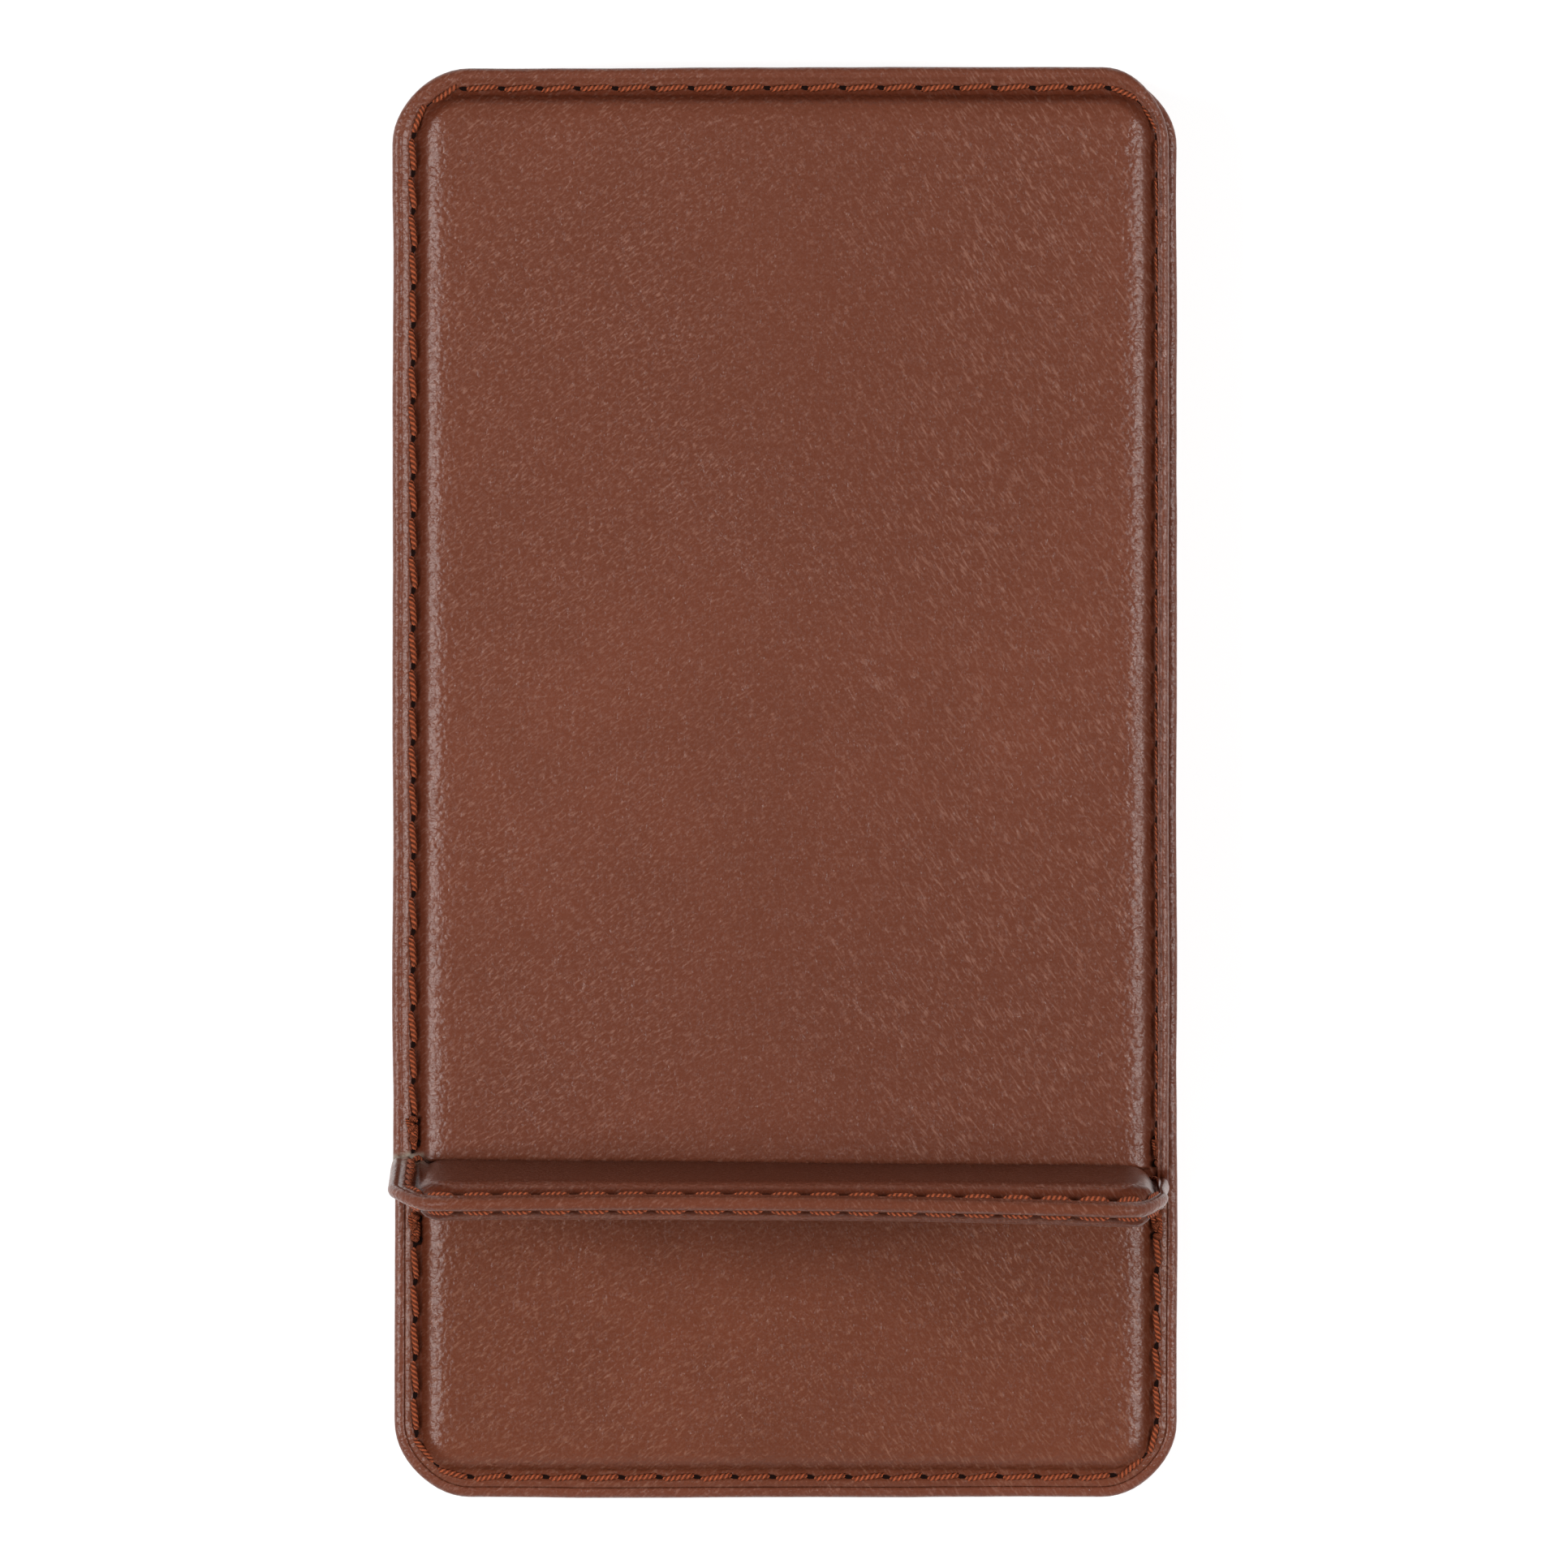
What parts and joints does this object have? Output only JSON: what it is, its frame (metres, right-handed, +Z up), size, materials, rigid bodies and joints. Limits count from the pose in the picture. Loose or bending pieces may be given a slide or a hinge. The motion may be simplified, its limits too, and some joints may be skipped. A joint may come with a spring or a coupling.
{
  "type": "business card case",
  "caption": "Slim padded leather card case: long back cover, gusseted card pocket under a shorter front cover, and a hinged flap over the pocket's mouth, shown open.",
  "frame": {"origin": "middle of the back cover's outline, on the plane the case rests on", "axes": "+Y along the case towards the closed end of the pocket, +X to the right seen from the front cover, +Z out of the front cover; the flap hinges about X and stands up along +Z at rest"},
  "size_m": [0.062, 0.113, 0.0349],
  "materials": {
    "leather": "fine-grained, soft sheen",
    "lining_leather": "smooth, soft sheen",
    "foam": "matt",
    "board": "matt",
    "magnet": "nickel plated",
    "thread": "waxed, twisted"
  },
  "bodies": {
    "case": {"back_leather": "leather", "back_lining": "lining_leather", "back_padding": "foam", "back_board": "board", "back_magnets": "magnet", "back_seam": "thread", "gusset": "leather", "front_leather": "leather", "front_lining": "lining_leather", "front_padding": "foam", "front_board": "board", "front_seam": "thread"},
    "flap": {"flap_leather": "leather", "flap_lining": "lining_leather", "flap_padding": "foam", "flap_board": "board", "flap_magnets": "magnet", "flap_seam": "thread"}
  },
  "joints": [
    {"name": "flap_hinge", "type": "hinge", "parent": "case", "child": "flap", "pos_m": [0, -0.0314, 0.0098], "axis": [1, 0, 0], "range_deg": [-5, 99]}
  ]
}
